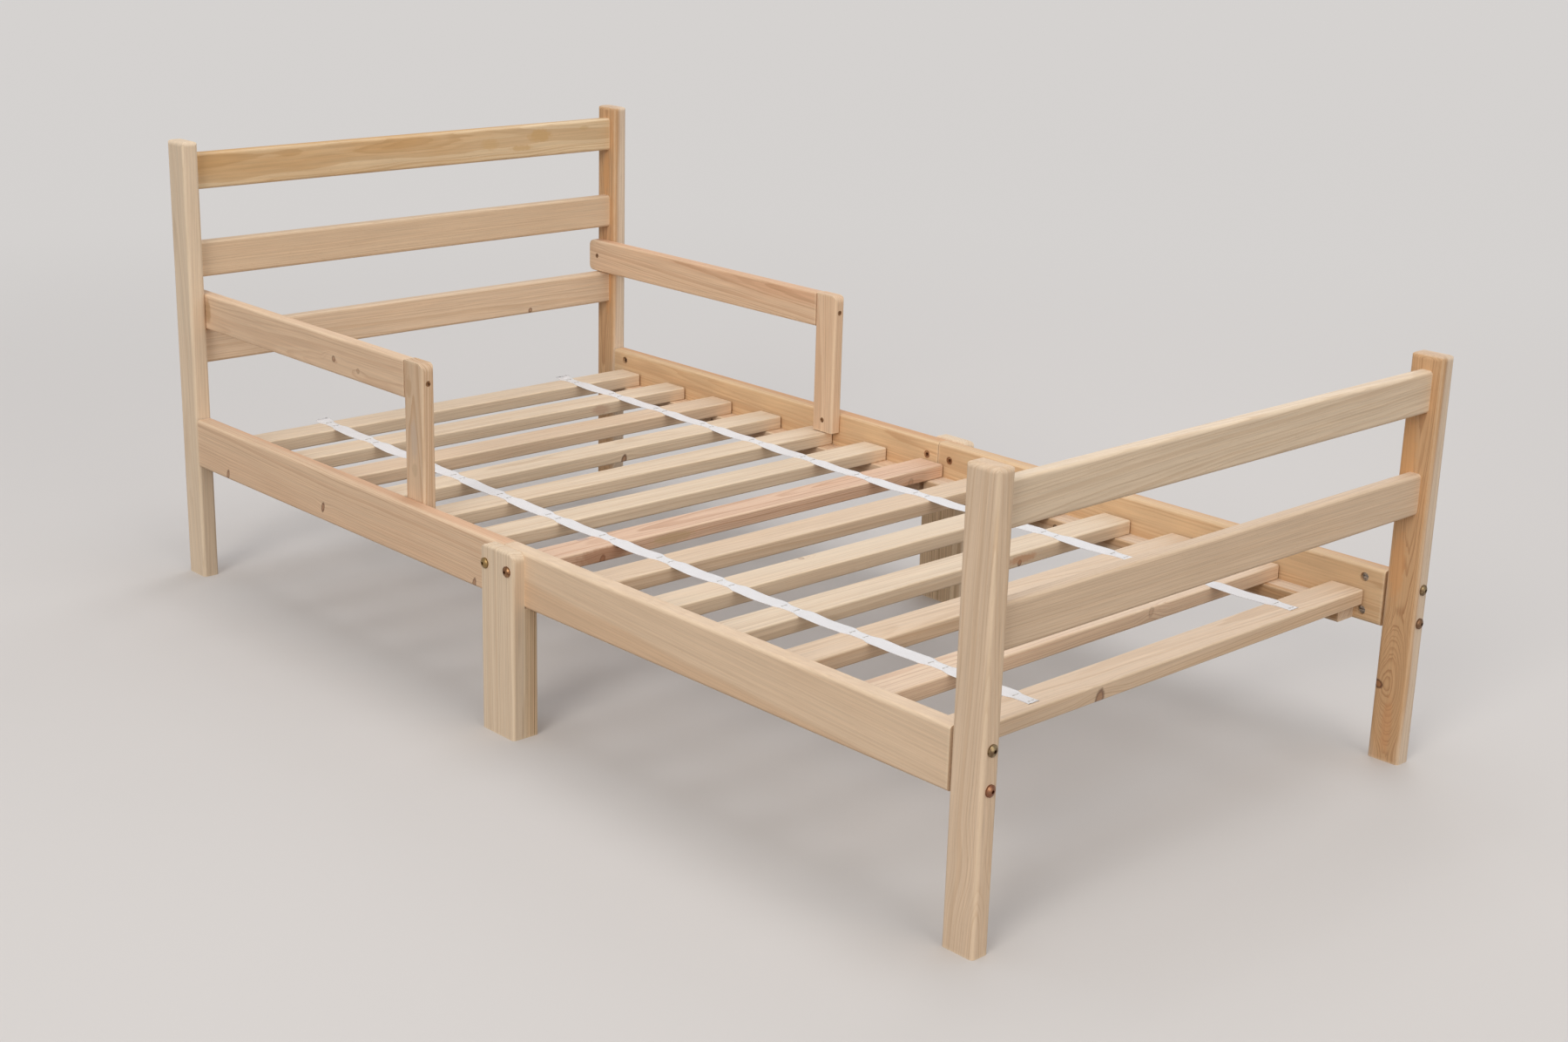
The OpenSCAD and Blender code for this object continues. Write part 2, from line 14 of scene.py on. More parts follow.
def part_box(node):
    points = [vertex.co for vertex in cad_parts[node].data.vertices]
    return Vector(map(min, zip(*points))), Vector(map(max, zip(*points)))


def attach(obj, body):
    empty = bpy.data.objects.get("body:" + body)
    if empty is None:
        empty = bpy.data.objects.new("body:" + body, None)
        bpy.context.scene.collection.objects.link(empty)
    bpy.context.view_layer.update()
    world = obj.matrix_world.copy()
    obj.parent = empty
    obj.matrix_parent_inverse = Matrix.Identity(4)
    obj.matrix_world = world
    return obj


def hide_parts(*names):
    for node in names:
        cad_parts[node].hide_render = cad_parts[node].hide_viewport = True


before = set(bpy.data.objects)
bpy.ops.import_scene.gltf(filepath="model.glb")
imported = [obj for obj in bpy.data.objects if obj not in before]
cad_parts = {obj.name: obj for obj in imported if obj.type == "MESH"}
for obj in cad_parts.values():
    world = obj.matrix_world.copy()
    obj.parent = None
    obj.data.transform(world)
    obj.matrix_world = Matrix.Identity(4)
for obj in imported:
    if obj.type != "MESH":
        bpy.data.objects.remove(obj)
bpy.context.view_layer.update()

SLATS = [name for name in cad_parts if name.startswith("slat_")]

# Sockets of a Mix node that mixes colours
MIX_FACTOR = 0
MIX_BELOW = 6
MIX_ABOVE = 7
MIX_RESULT = 2

# Camera, fitted to the photograph
CAMERA_PLACE = Vector((-2.08745, -2.28850, 1.17105))
CAMERA_YAW = -0.7575
CAMERA_PITCH = 0.301
CAMERA_ROLL = 0.0279
CAMERA_LENS = 51.74
SENSOR_WIDTH = 36.0
CAMERA_NEAR = 0.05
CAMERA_FAR = 200.0

# Studio: the floor's tone as seen and as it lights the bed, where it starts and ends to fade into
# the backdrop, and the sky's tone as seen and its strength as it lights the bed
FLOOR_SIZE = 120.0
FLOOR_TONE = (214, 210, 208)
FLOOR_BOUNCE = (128, 118, 110)
FLOOR_NEAR = 1.0
FLOOR_FAR = 4.0
FLOOR_ROUGHNESS = 0.9
FLOOR_SPECULAR = 0.1
SKY_TONE = (210, 207, 205)
SKY_LIGHT = 0.47
WHITE = (255, 255, 255)
BLACK = (0, 0, 0)
# Each lamp: name, place, point that it faces, width, power in watts, tone
LAMPS = [
    ("overhead", (0.3, 0.2, 5.0), (0.0, 0.0, 0.2), 4.0, 81.0, (248, 251, 255)),
    ("key", (-8.9, -3.5, 4.6), (0.0, 0.0, 0.3), 5.0, 446.0, (255, 250, 242)),
    ("front", (-0.6, -8.0, 3.0), (0.0, 0.0, 0.3), 6.0, 159.0, (255, 247, 234)),
    ("fill", (4.2, 2.2, 3.0), (0.0, 0.0, 0.3), 3.0, 36.0, WHITE),
]

# Pine tones: sapwood, heartwood and the latewood line
TONES = {
    "cream": ((229, 208, 183), (227, 197, 169), (202, 172, 140)),
    "straw": ((224, 199, 173), (220, 187, 153), (195, 160, 123)),
    "biscuit": ((228, 202, 174), (219, 188, 157), (198, 162, 128)),
    "tan": ((221, 195, 166), (214, 179, 145), (186, 147, 111)),
    "rose": ((227, 197, 167), (221, 180, 147), (193, 150, 116)),
    "blush": ((231, 205, 179), (221, 180, 150), (190, 144, 112)),
    "amber": ((222, 188, 148), (211, 163, 120), (178, 126, 84)),
    "russet": ((226, 192, 166), (216, 172, 140), (182, 132, 98)),
    "copper": ((230, 210, 188), (207, 167, 126), (156, 106, 66)),
    "honey": ((226, 200, 164), (209, 168, 118), (184, 142, 92)),
    "coarse": ((224, 198, 166), (216, 182, 146), (154, 116, 78)),
    "grey": ((216, 188, 159), (208, 166, 124), (172, 120, 72)),
}
# Tones whose latewood lines are weaker in the sapwood, and how strong they are there
SAPWOOD_LINES = {"copper": 0.50}
KNOT_HEART_TONE = (146, 96, 60)
KNOT_RIM_TONE = (92, 54, 36)
EDGE_TONE = (240, 220, 190)

# Each board: tone, the pith's place from its middle along its two short sides, and how far from
# the pith its heartwood reaches
BOARDS = {
    "head_post_left": ("cream", (0.052, 0.012), 0.044),
    "head_post_right": ("copper", (-0.060, 0.004), 0.0590),
    "foot_post_left": ("straw", (0.040, 0.044), 0.0),
    "foot_post_right": ("copper", (-0.060, -0.004), 0.0580),
    "head_rail_top": ("honey", (0.046, 0.006), 0.0575),
    "head_rail_middle": ("tan", (0.030, -0.052), 0.030),
    "head_rail_bottom": ("straw", (0.040, -0.044), 0.0),
    "foot_rail_top": ("cream", (0.036, -0.040), 0.0),
    "foot_rail_bottom": ("straw", (0.042, -0.048), 0.0),
    "side_rail_left_head": ("rose", (0.030, 0.058), 0.040),
    "side_rail_left_foot": ("biscuit", (0.000, -0.063), 0.047),
    "side_rail_right_head": ("amber", (0.048, 0.030), 0.054),
    "side_rail_right_foot": ("amber", (0.050, 0.018), 0.050),
    "ledger_left_head": ("straw", (0.040, 0.030), 0.0),
    "ledger_left_foot": ("cream", (-0.030, 0.044), 0.0),
    "ledger_right_head": ("rose", (0.044, -0.030), 0.040),
    "ledger_right_foot": ("copper", (-0.048, 0.010), 0.036),
    "mid_leg_board_left": ("cream", (0.016, 0.064), 0.0),
    "mid_leg_board_right": ("cream", (-0.040, 0.010), 0.0),
    "mid_leg_block_left": ("coarse", (0.060, -0.020), 0.0),
    "mid_leg_block_right": ("coarse", (0.012, 0.058), 0.0),
    "guard_board_left": ("rose", (0.044, -0.020), 0.040),
    "guard_board_right": ("rose", (0.040, 0.028), 0.050),
    "guard_upright_left": ("grey", (0.040, 0.004), 0.042),
    "guard_upright_right": ("rose", (0.044, 0.020), 0.050),
    "slat_01": ("cream", (0.020, -0.060), 0.0),
    "slat_02": ("cream", (-0.014, -0.050), 0.0),
    "slat_03": ("straw", (0.030, -0.048), 0.0),
    "slat_04": ("cream", (0.010, -0.056), 0.050),
    "slat_05": ("cream", (-0.026, -0.050), 0.0),
    "slat_06": ("cream", (0.036, -0.044), 0.0),
    "slat_07": ("russet", (0.008, -0.040), 0.047),
    "slat_08": ("straw", (-0.030, -0.052), 0.0),
    "slat_09": ("cream", (0.016, -0.058), 0.0),
    "slat_10": ("cream", (0.034, -0.046), 0.052),
    "slat_11": ("straw", (-0.012, -0.060), 0.0),
    "slat_12": ("blush", (0.026, -0.050), 0.038),
    "slat_13": ("straw", (0.014, -0.054), 0.0),
}
# Boards whose grain differs: contrast, how far the rings wander, the log's lean on its short sides,
# width of a ring
GRAINS = {
    "foot_post_left": (0.64, 0.013, (0.010, -0.050), 0.0030),
    "foot_post_right": (0.95, 0.008, (0.010, 0.006), 0.0013),
    "head_post_left": (0.50, 0.012, (0.010, 0.020), 0.0026),
    "head_post_right": (0.95, 0.009, (0.010, -0.008), 0.0015),
    "guard_upright_left": (0.86, 0.014, (0.024, 0.004), 0.0044),
    "guard_upright_right": (0.85, 0.010, (0.014, 0.004), 0.0024),
    "guard_board_left": (0.62, 0.018, (0.010, 0.008), 0.0026),
    "guard_board_right": (0.90, 0.014, (0.020, 0.016), 0.0026),
    "head_rail_top": (0.80, 0.026, (0.012, 0.010), 0.0026),
    "head_rail_middle": (0.65, 0.008, (0.006, 0.004), 0.0020),
    "side_rail_left_foot": (0.27, 0.008, (0.000, 0.055), 0.0026),
    "side_rail_left_head": (0.80, 0.010, (0.010, 0.012), 0.0026),
    "side_rail_right_head": (0.60, 0.012, (0.010, 0.008), 0.0030),
    "side_rail_right_foot": (0.62, 0.012, (0.008, 0.010), 0.0030),
    "mid_leg_board_left": (0.90, 0.006, (0.004, 0.006), 0.0030),
    "mid_leg_block_left": (0.95, 0.006, (0.004, 0.030), 0.0032),
    "mid_leg_block_right": (0.90, 0.006, (0.004, 0.010), 0.0030),
    "slat_07": (0.85, 0.016, (0.018, 0.014), 0.0030),
    "slat_12": (0.85, 0.012, (0.014, 0.012), 0.0026),
}
# Knots: board, a point of its face, radius, how much of the branch itself shows, how far it bends
# the rings
KNOTS = [
    ("side_rail_left_head", (-0.428, 0.711, 0.190), 0.0030, 0.8, 1.0),
    ("side_rail_left_head", (-0.428, 0.440, 0.203), 0.0030, 0.9, 1.0),
    ("side_rail_left_head", (-0.428, 0.066, 0.186), 0.0030, 0.8, 1.0),
    ("guard_board_left", (-0.402, 0.440, 0.420), 0.0034, 0.70, 1.2),
    ("guard_board_left", (-0.402, 0.377, 0.414), 0.0030, 0.40, 0.6),
    ("slat_04", (0.064, 0.355, 0.209), 0.0040, 0.9, 1.0),
    ("slat_07", (-0.273, -0.0140, 0.2085), 0.0036, 1.0, 1.0),
    ("slat_07", (0.328, -0.0135, 0.209), 0.0045, 0.3, 1.0),
    ("slat_09", (-0.094, -0.216, 0.2265), 0.0036, 0.4, 1.0),
    ("slat_10", (0.160, -0.383, 0.211), 0.0030, 0.8, 1.0),
    ("slat_12", (0.122, -0.639, 0.220), 0.0040, 0.3, 1.2),
    ("slat_13", (-0.142, -0.772, 0.209), 0.0060, 0.8, 1.0),
    ("head_rail_bottom", (0.227, 0.815, 0.348), 0.0030, 0.8, 1.0),
    ("foot_post_left", (-0.428, -0.842, 0.104), 0.0070, 0.0, 0.9),
    ("foot_post_right", (0.402, -0.8070, 0.104), 0.0048, 1.0, 0.6),
    ("foot_post_right", (0.402, -0.8180, 0.108), 0.0105, 0.0, 1.1),
]
# Stains: piece, middle, reach along each axis, tone, strength
STAINS = [
    ("slat_02", (0.214, 0.601, 0.216), (0.022, 0.006, 0.011), (202, 168, 144), 0.7),
    ("slat_07", (-0.246, -0.0140, 0.2215), (0.005, 0.004, 0.002), (70, 54, 48), 0.8),
    ("slat_07", (-0.272, 0.034, 0.2265), (0.014, 0.011, 0.004), (158, 146, 150), 0.6),
    ("slat_07", (-0.270, -0.014, 0.214), (0.060, 0.004, 0.020), (172, 122, 92), 0.6),
    ("slat_07", (-0.150, -0.014, 0.216), (0.050, 0.004, 0.009), (196, 168, 128), 0.6),
    ("guard_upright_left", (-0.402, 0.240, 0.345), (0.004, 0.010, 0.034), (196, 178, 164), 0.5),
    ("guard_upright_left", (-0.402, 0.240, 0.300), (0.004, 0.008, 0.014), (192, 166, 136), 0.5),
    ("head_rail_top", (0.250, 0.815, 0.648), (0.030, 0.004, 0.014), (204, 166, 112), 0.7),
    ("head_rail_top", (0.212, 0.815, 0.630), (0.030, 0.004, 0.006), (204, 166, 112), 0.6),
    ("head_rail_top", (0.146, 0.815, 0.640), (0.022, 0.004, 0.012), (208, 172, 120), 0.5),
    ("head_rail_top", (0.346, 0.815, 0.655), (0.014, 0.004, 0.005), (200, 168, 120), 0.5),
    ("post_bolts", (-0.415, -0.851, 0.197), (0.030, 0.030, 0.030), (150, 98, 76), 0.7),
    ("post_bolts", (0.415, -0.851, 0.197), (0.030, 0.030, 0.030), (126, 92, 72), 0.7),
    ("leg_bolts", (-0.450, 0.012, 0.228), (0.030, 0.022, 0.040), (156, 132, 88), 0.8),
    ("barrel_nuts", (0.402, 0.767, 0.230), (0.030, 0.060, 0.060), (110, 84, 60), 0.8),
    ("slat_10", (0.166, -0.383, 0.216), (0.036, 0.004, 0.008), (200, 144, 104), 0.6),
    ("guard_upright_left", (-0.402, 0.250, 0.416), (0.004, 0.008, 0.020), (186, 150, 114), 0.5),
    ("guard_board_left", (-0.402, 0.797, 0.428), (0.004, 0.012, 0.024), (168, 132, 90), 0.6),
    ("foot_post_right", (0.402, -0.812, 0.420), (0.004, 0.016, 0.070), (216, 162, 108), 0.6),
    ("foot_post_right", (0.402, -0.816, 0.270), (0.004, 0.014, 0.060), (212, 156, 104), 0.6),
    ("foot_post_right", (0.402, -0.826, 0.050), (0.004, 0.010, 0.050), (206, 150, 104), 0.5),
    ("head_post_right", (0.402, 0.824, 0.570), (0.004, 0.012, 0.050), (216, 160, 104), 0.6),
    ("head_post_right", (0.402, 0.818, 0.360), (0.004, 0.010, 0.060), (214, 158, 104), 0.5),
]
# Fittings: bright and dull tone, roughness where smooth and where rough, share of bare metal
METALS = {
    "post_bolts": ((156, 138, 106), (116, 94, 72), 0.28, 0.50, 1.0),
    "leg_bolts": ((164, 126, 92), (122, 86, 62), 0.28, 0.50, 1.0),
    "barrel_nuts": ((206, 206, 208), (160, 158, 156), 0.24, 0.46, 1.0),
    "sleeve_nuts": ((196, 150, 112), (142, 98, 66), 0.32, 0.54, 0.45),
    "guard_screws": ((166, 126, 90), (112, 78, 52), 0.36, 0.60, 0.5),
    "ledger_screws": ((160, 128, 96), (116, 88, 64), 0.36, 0.60, 0.6),
    "staples": ((216, 214, 210), (190, 187, 182), 0.30, 0.50, 0.35),
}

# Boards without a row in GRAINS: range of the ring widths and of the lean, wander and contrast
RING_WIDTHS = (0.0022, 0.0036)
LEAN = 0.022
WANDER = 0.009
CONTRAST = 0.78
# Range of the places along the logs that the boards are cut from
LOG_PLACES = (1.0, 12.0)

# In what follows, a noise is lumps to the metre and detail, a stretch is a lump's width over its
# length along the log, and a pair is where a soft step starts and ends or a range of values
NOISE_MEAN = 0.5

# Rings: slow waves, small ripples and uneven years, and between which shares of a ring the dark
# late wood that ends each year starts and ends
WAVE_NOISE = (13.0, 2.0)
WAVE_STRETCH = 0.16
RIPPLE_NOISE = (120.0, 2.0)
RIPPLE_STRETCH = 0.10
RIPPLE_PUSH = 0.0016
DRIFT_NOISE = 0.35
DRIFT_YEARS = (-1.6, 1.6)
YEAR_STRENGTH = (0.45, 1.0)
LATE_WOOD_STARTS = (0.42, 0.90)
LATE_WOOD_ENDS = (0.93, 1.0)
# Fibres, clouds of warmer wood and pores
FIBRE_NOISE = (360.0, 4.0)
FIBRE_STRETCH = 0.022
CLOUD_NOISE = (15.0, 3.0)
CLOUD_STRETCH = 0.22
PORE_NOISE = (1500.0, 1.0)
PORE_STRETCH = 0.06
PORE_SHOWS = (0.66, 0.74)
# Knots: rise of a branch on its way out of the pith, where it starts to show, its ragged outline,
# the ends of its heart, its dark rim and the rings' bend in radii, and the bend's stretch
BRANCH_RISE = 0.25
BRANCH_STARTS = (0.0, 0.006)
KNOT_NOISE = (420.0, 2.0)
KNOT_RAGGED = (0.8, 1.2)
KNOT_HEART_ENDS = (0.75, 1.05)
KNOT_RIM_STARTS = (0.6, 0.95)
KNOT_RIM_ENDS = (1.0, 1.6)
KNOT_BEND_ENDS = (0.0, 4.2)
KNOT_BEND_STRETCH = 0.36
# Stains: ragged outline and soft rim, as shares of their reach
STAIN_NOISE = (160.0, 3.0)
STAIN_RAGGED = (-0.35, 0.35)
STAIN_RIM = (0.45, 1.0)
# Sanded edges and sawn ends
EDGE_WIDTH = 0.0045
EDGE_NOISE = (70.0, 2.0)
EDGE_UNEVEN = (0.5, 1.5)
END_FACING = (0.55, 0.85)

# Finish of the pine: the heartwood's uneven outline and soft rim, patches of warm sapwood, how much
# warmth shows on a face and on an end, how strong the lines are where the rings are cut square and
# where they are cut flat, and streaks along the fibres
HEARTWOOD_UNEVEN = 0.014
HEARTWOOD_RIM = (-0.004, 0.005)
PATCH_RIM = (0.0, 0.35)
PATCH_WARMTH = 0.45
END_WARMTH = (1.0, 0.35)
SAWN_CONTRAST = (1.0, 0.68)
STREAKS = (0.80, 1.19)
# Masks of the pine: how strongly each one tints, roughens and raises the wood
TINTS = {"Pore": 0.25, "End": 0.12, "Edge": 0.30, "Heart": 0.80, "Rim": 0.88}
FIBRE_ROUGHNESS = (0.52, 0.70)
ROUGHENING = {"Late": -0.08, "Heart": -0.14, "End": 0.12}
RELIEF = {"Fibre": 0.5, "Late": 0.35, "Rim": -0.6, "Pore": -0.4}
PINE_RELIEF_DEPTH = 0.00016
PINE_SPECULAR = 0.35

# Plated steel: dull blotches, turning lines, and how much each roughens the plating
BLOTCH_NOISE = (260.0, 3.0)
BLOTCH_RIM = (0.36, 0.64)
SCUFF_NOISE = (2600.0, 2.0)
SCUFF_STRETCH = 0.1
SCUFF_TINT = (0.8, 1.15)
BLOTCH_WEAR = 0.6
SCUFF_WEAR = 0.4
METAL_RELIEF_DEPTH = 0.00004

# Dowels
DOWEL_TONES = ((214, 176, 128), (176, 132, 88))
DOWEL_NOISE = (900.0, 3.0)
DOWEL_STRETCH = 0.04
DOWEL_ROUGHNESS = (0.5, 0.7)
DOWEL_RELIEF_DEPTH = 0.0001

# Webbing: tones of its hollows, made greyer than the threads as painted shade, and of its threads,
# threads each way and how uneven they are, creases, whose tint is painted shade where they dip and
# painted light where they rise, roughness in the hollows and on the threads, and sheen
WEB_HOLLOW_SHADE_AND_THREAD_TONES = ((226, 224, 226), (243, 241, 243))
WEB_RIBS = (260.0, 0.6)
WEB_WARP = (300.0, 0.8)
CREASE_NOISE = (90.0, 3.0)
CREASE_SHADE_AND_LIGHT_TINT = (0.94, 1.04)
WEB_ROUGHNESS = (0.72, 0.55)
WEB_SHEEN = 0.25
WEB_SHEEN_ROUGHNESS = 0.4
WEB_RELIEF_DEPTH = 0.00012

# Ribbons: their lines, widths and sag come from the model
RIBBON_THICK = 0.0005
RIBBON_SELVEDGE = 0.0001
SELVEDGE_COLUMNS = 3
RIBBON_COLUMNS = 25
RIBBON_STEP = 0.003
# How far from a slat's middle the staples hold a ribbon together, and over what length it opens
STAPLED_REACH = 0.009
OPENING_REACH = 0.016
# Height and number of the folds where a ribbon is stapled; largest twist and curl where it is
# free, and from what share of its opening it counts as free
RIBBON_FOLD = 0.0006
RIBBON_FOLDS = 3.0
RIBBON_TWIST = 0.035
RIBBON_CURL = 0.0007
RIBBON_CURL_LEVEL = 0.4
RIBBON_FREE = 0.01
# The cut end at the head lifts and frays, and the one at the foot is neater
FRAY_LENGTH = 0.012
FRAY_LIFT = 0.003
FRAY_RAGGED = 0.0026
FOOT_RAGGED = 0.2


def srgb(tone):
    """Turns a tone of 0 to 255 into the linear colour that the shaders take, by the sRGB curve."""
    linear = []
    for part in tone:
        share = part / 255
        linear.append(share / 12.92 if share <= 0.04045 else ((share + 0.055) / 1.055) ** 2.4)
    return (*linear, 1.0)


def feed(tree, socket, value):
    """Sets a socket to a plain value, or links it to the socket that is given."""
    if isinstance(value, bpy.types.NodeSocket):
        tree.links.new(value, socket)
    else:
        socket.default_value = value


def shader_node(tree, kind, **settings):
    """Adds a shader node with its settings."""
    node = tree.nodes.new("ShaderNode" + kind)
    for name, value in settings.items():
        setattr(node, name, value)
    return node


def maths(tree, operation, *values):
    """One sum of numbers or number sockets."""
    node = shader_node(tree, "Math", operation=operation)
    for socket, value in zip(node.inputs, values):
        feed(tree, socket, value)
    return node.outputs["Value"]


def inverse(tree, value):
    """1 where a value is 0, and 0 where it is 1."""
    return maths(tree, "SUBTRACT", 1.0, value)


def vector_maths(tree, operation, *values):
    """One sum of vectors. A length or a dot product comes back as a number."""
    node = shader_node(tree, "VectorMath", operation=operation)
    for socket, value in zip(node.inputs, values):
        feed(tree, socket, value)
    return node.outputs["Value" if operation in ("LENGTH", "DOT_PRODUCT") else "Vector"]


def times(tree, vector, factor):
    """A vector made longer or shorter by a number."""
    node = shader_node(tree, "VectorMath", operation="SCALE")
    feed(tree, node.inputs["Vector"], vector)
    feed(tree, node.inputs["Scale"], factor)
    return node.outputs["Vector"]


def stretched(tree, vector, share):
    """A point whose place along the log counts for only a share."""
    return vector_maths(tree, "MULTIPLY", vector, (1.0, 1.0, share))


def rise(tree, value, low, high):
    """A smooth step from 0 at low to 1 at high."""
    node = shader_node(tree, "MapRange", interpolation_type="SMOOTHSTEP")
    feed(tree, node.inputs["Value"], value)
    feed(tree, node.inputs["From Min"], low)
    feed(tree, node.inputs["From Max"], high)
    return node.outputs["Result"]


def spread(tree, value, low, high):
    """A value of 0 to 1, spread from low to high."""
    node = shader_node(tree, "MapRange")
    feed(tree, node.inputs["Value"], value)
    feed(tree, node.inputs["To Min"], low)
    feed(tree, node.inputs["To Max"], high)
    return node.outputs["Result"]


def noise(tree, vector, scale, detail, output="Fac"):
    """Soft noise at so many lumps to the metre."""
    node = shader_node(tree, "TexNoise")
    feed(tree, node.inputs["Vector"], vector)
    node.inputs["Scale"].default_value = scale
    node.inputs["Detail"].default_value = detail
    return node.outputs[output]


def blend_tones(tree, factor, below, above, blend_type="MIX"):
    """Two colours, mixed or multiplied by a factor."""
    node = shader_node(tree, "Mix", data_type="RGBA", blend_type=blend_type)
    feed(tree, node.inputs[MIX_FACTOR], factor)
    feed(tree, node.inputs[MIX_BELOW], below)
    feed(tree, node.inputs[MIX_ABOVE], above)
    return node.outputs[MIX_RESULT]


def add_shares(tree, start, given, shares):
    """A number with a share of each of the masks that are named added to it."""
    total = start
    for mask, share in shares.items():
        total = maths(tree, "ADD", total, maths(tree, "MULTIPLY", given[mask], share))
    return total


def new_group(name, inputs, outputs):
    """Starts a node group with named sockets, and returns its tree, its inputs and its outputs."""
    tree = bpy.data.node_groups.new(name, "ShaderNodeTree")
    for side, sockets in (("INPUT", inputs), ("OUTPUT", outputs)):
        for label, kind in sockets.items():
            tree.interface.new_socket(label, in_out=side, socket_type="NodeSocket" + kind)
    given = tree.nodes.new("NodeGroupInput").outputs
    results = tree.nodes.new("NodeGroupOutput").inputs
    return tree, given, results


def place_group(tree, name, values):
    """Places a node group in a material, with that material's own values."""
    node = shader_node(tree, "Group", node_tree=bpy.data.node_groups[name])
    for label, value in values.items():
        feed(tree, node.inputs[label], value)
    return node.outputs


def make_knot_group():
    """A branch that grows out of the pith: it shows as a knot, and the rings swing round it."""
    tree, given, results = new_group(
        "pine_knot",
        {"Point": "Vector", "Height": "Float", "Outward": "Vector", "Radius": "Float",
         "Shows": "Float", "Pull": "Float"},
        {"Bend": "Float", "Heart": "Float", "Rim": "Float"},
    )
    base = shader_node(tree, "CombineXYZ")
    feed(tree, base.inputs["Z"], given["Height"])
    from_base = vector_maths(tree, "SUBTRACT", given["Point"], base.outputs["Vector"])
    along = vector_maths(tree, "DOT_PRODUCT", from_base, given["Outward"])
    aside = vector_maths(tree, "SUBTRACT", from_base, times(tree, given["Outward"], along))
    ragged = spread(tree, noise(tree, given["Point"], *KNOT_NOISE), *KNOT_RAGGED)
    ratio = maths(tree, "DIVIDE", vector_maths(tree, "LENGTH", aside), given["Radius"])
    ratio = maths(tree, "MULTIPLY", ratio, ragged)
    outside = rise(tree, along, *BRANCH_STARTS)
    shown = maths(tree, "MULTIPLY", outside, given["Shows"])
    heart = inverse(tree, rise(tree, ratio, *KNOT_HEART_ENDS))
    feed(tree, results["Heart"], maths(tree, "MULTIPLY", heart, shown))
    rim_ended = inverse(tree, rise(tree, ratio, *KNOT_RIM_ENDS))
    rim = maths(tree, "MULTIPLY", rise(tree, ratio, *KNOT_RIM_STARTS), rim_ended)
    feed(tree, results["Rim"], maths(tree, "MULTIPLY", rim, shown))
    oval = vector_maths(tree, "LENGTH", stretched(tree, aside, KNOT_BEND_STRETCH))
    oval = maths(tree, "DIVIDE", oval, given["Radius"])
    reach = inverse(tree, rise(tree, oval, *KNOT_BEND_ENDS))
    bend = maths(tree, "MULTIPLY", maths(tree, "MULTIPLY", reach, given["Radius"]), given["Pull"])
    feed(tree, results["Bend"], maths(tree, "MULTIPLY", bend, outside))


def make_stain_group():
    """A soft patch of another tone, ragged along its rim."""
    tree, given, results = new_group(
        "soft_stain",
        {"Point": "Vector", "Middle": "Vector", "Reach": "Vector", "Strength": "Float"},
        {"Mask": "Float"},
    )
    offset = vector_maths(tree, "SUBTRACT", given["Point"], given["Middle"])
    distance = vector_maths(tree, "LENGTH", vector_maths(tree, "DIVIDE", offset, given["Reach"]))
    ragged = spread(tree, noise(tree, given["Point"], *STAIN_NOISE), *STAIN_RAGGED)
    inside = inverse(tree, rise(tree, maths(tree, "ADD", distance, ragged), *STAIN_RIM))
    feed(tree, results["Mask"], maths(tree, "MULTIPLY", inside, given["Strength"]))


def make_grain_group():
    """Growth rings round the pith, fibres along the log and slow clouds of warmer wood."""
    tree, given, results = new_group(
        "pine_grain",
        {"Point": "Vector", "Normal": "Vector", "Bend": "Float", "Ring Width": "Float",
         "Wander": "Float"},
        {"Late": "Float", "Fibre": "Float", "Cloud": "Float", "Pore": "Float", "Radius": "Float",
         "Flat Sawn": "Float"},
    )
    bent = given["Point"]
    for (scale, detail), stretch, reach in [(WAVE_NOISE, WAVE_STRETCH, given["Wander"]),
                                            (RIPPLE_NOISE, RIPPLE_STRETCH, RIPPLE_PUSH)]:
        wave = noise(tree, stretched(tree, given["Point"], stretch), scale, detail, "Color")
        wave = vector_maths(tree, "SUBTRACT", wave, (NOISE_MEAN, NOISE_MEAN, NOISE_MEAN))
        bent = vector_maths(tree, "ADD", bent, times(tree, wave, reach))
    level = stretched(tree, bent, 0.0)
    radius = maths(tree, "SUBTRACT", vector_maths(tree, "LENGTH", level), given["Bend"])
    feed(tree, results["Radius"], radius)
    outward = vector_maths(tree, "NORMALIZE", level)
    facing = vector_maths(tree, "DOT_PRODUCT", outward, given["Normal"])
    feed(tree, results["Flat Sawn"], maths(tree, "ABSOLUTE", facing))
    rings = maths(tree, "DIVIDE", radius, given["Ring Width"])
    drift = shader_node(tree, "TexNoise", noise_dimensions="1D")
    feed(tree, drift.inputs["W"], rings)
    drift.inputs["Scale"].default_value = DRIFT_NOISE
    rings = maths(tree, "ADD", rings, spread(tree, drift.outputs["Fac"], *DRIFT_YEARS))
    part = maths(tree, "FRACT", rings)
    year = shader_node(tree, "TexWhiteNoise", noise_dimensions="1D")
    feed(tree, year.inputs["W"], maths(tree, "FLOOR", rings))
    strength = spread(tree, year.outputs["Value"], *YEAR_STRENGTH)
    grown = rise(tree, part, *LATE_WOOD_STARTS)
    ended = inverse(tree, rise(tree, part, *LATE_WOOD_ENDS))
    late = maths(tree, "MULTIPLY", maths(tree, "MULTIPLY", grown, ended), strength)
    feed(tree, results["Late"], late)
    feed(tree, results["Fibre"], noise(tree, stretched(tree, given["Point"], FIBRE_STRETCH), *FIBRE_NOISE))
    feed(tree, results["Cloud"], noise(tree, stretched(tree, given["Point"], CLOUD_STRETCH), *CLOUD_NOISE))
    pore = noise(tree, stretched(tree, given["Point"], PORE_STRETCH), *PORE_NOISE)
    feed(tree, results["Pore"], rise(tree, pore, *PORE_SHOWS))


